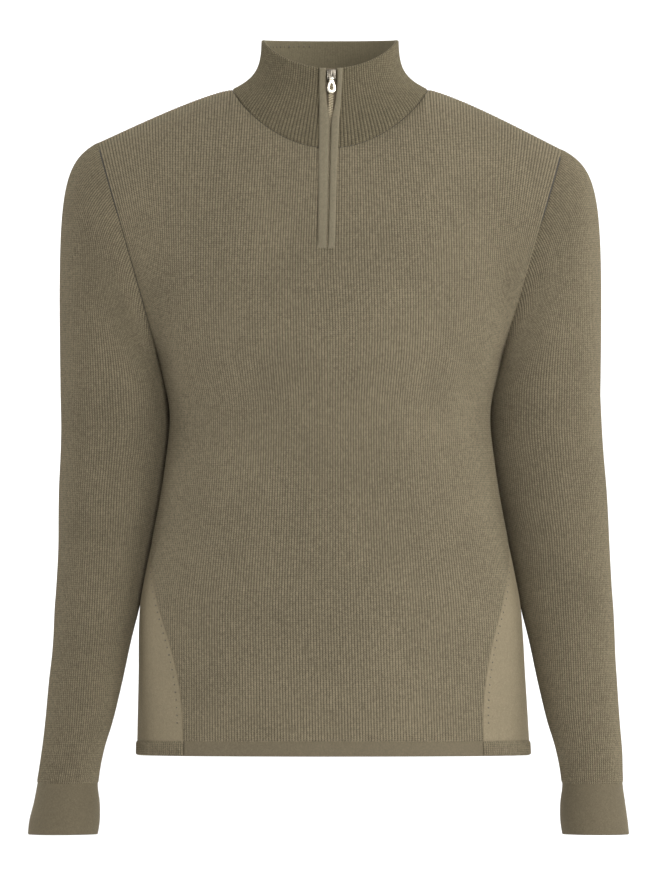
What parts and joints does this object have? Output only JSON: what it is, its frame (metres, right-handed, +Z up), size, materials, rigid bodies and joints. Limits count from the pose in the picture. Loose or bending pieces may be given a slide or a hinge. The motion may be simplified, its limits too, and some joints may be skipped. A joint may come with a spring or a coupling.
{
  "type": "quarter zip sweater",
  "caption": "Long-sleeved ribbed knit sweater with a stand collar, a short front zip and smooth side panels, filled out as worn.",
  "frame": {"origin": "on the centre line, level with the tops of the shoulder seams, where the wearer's shoulders hold the sweater", "axes": "+X to the viewer's right, the wearer's left; the front faces -Y; +Z up"},
  "size_m": [0.601, 0.2305, 0.7941],
  "materials": {
    "rib_knit": "fine one by one ribbed knit, matte, heathered olive brown",
    "smooth_knit": "smooth plain knit, matte, slightly lighter",
    "band_knit": "double knit band, matte",
    "placket_knit": "smooth knitted strip, matte",
    "zip_tape": "woven tape, matte",
    "zip_teeth": "dull coil teeth in the colour of the knit",
    "zip_metal": "pale polished metal with a warm tint"
  },
  "bodies": {
    "garment": {"front": "rib_knit", "back": "rib_knit", "side_panel_left": "smooth_knit", "side_panel_right": "smooth_knit", "sleeve_left": "rib_knit", "sleeve_right": "rib_knit", "cuff_left": "band_knit", "cuff_right": "band_knit", "hem_front": "band_knit", "hem_back": "band_knit", "hem_side_left": "band_knit", "hem_side_right": "band_knit", "collar": "rib_knit", "placket_left": "placket_knit", "placket_right": "placket_knit", "zip_tape_left": "zip_tape", "zip_tape_right": "zip_tape", "zip_chain": "zip_teeth", "zip_slider": "zip_metal"},
    "zip_pull_tab": {"zip_pull": "zip_metal"}
  },
  "joints": [
    {"name": "pull_swing", "type": "hinge", "parent": "garment", "child": "zip_pull_tab", "pos_m": [0.00137, -0.05901, 0.01633], "axis": [-1, 0, 0], "range_deg": [0, 160]}
  ]
}
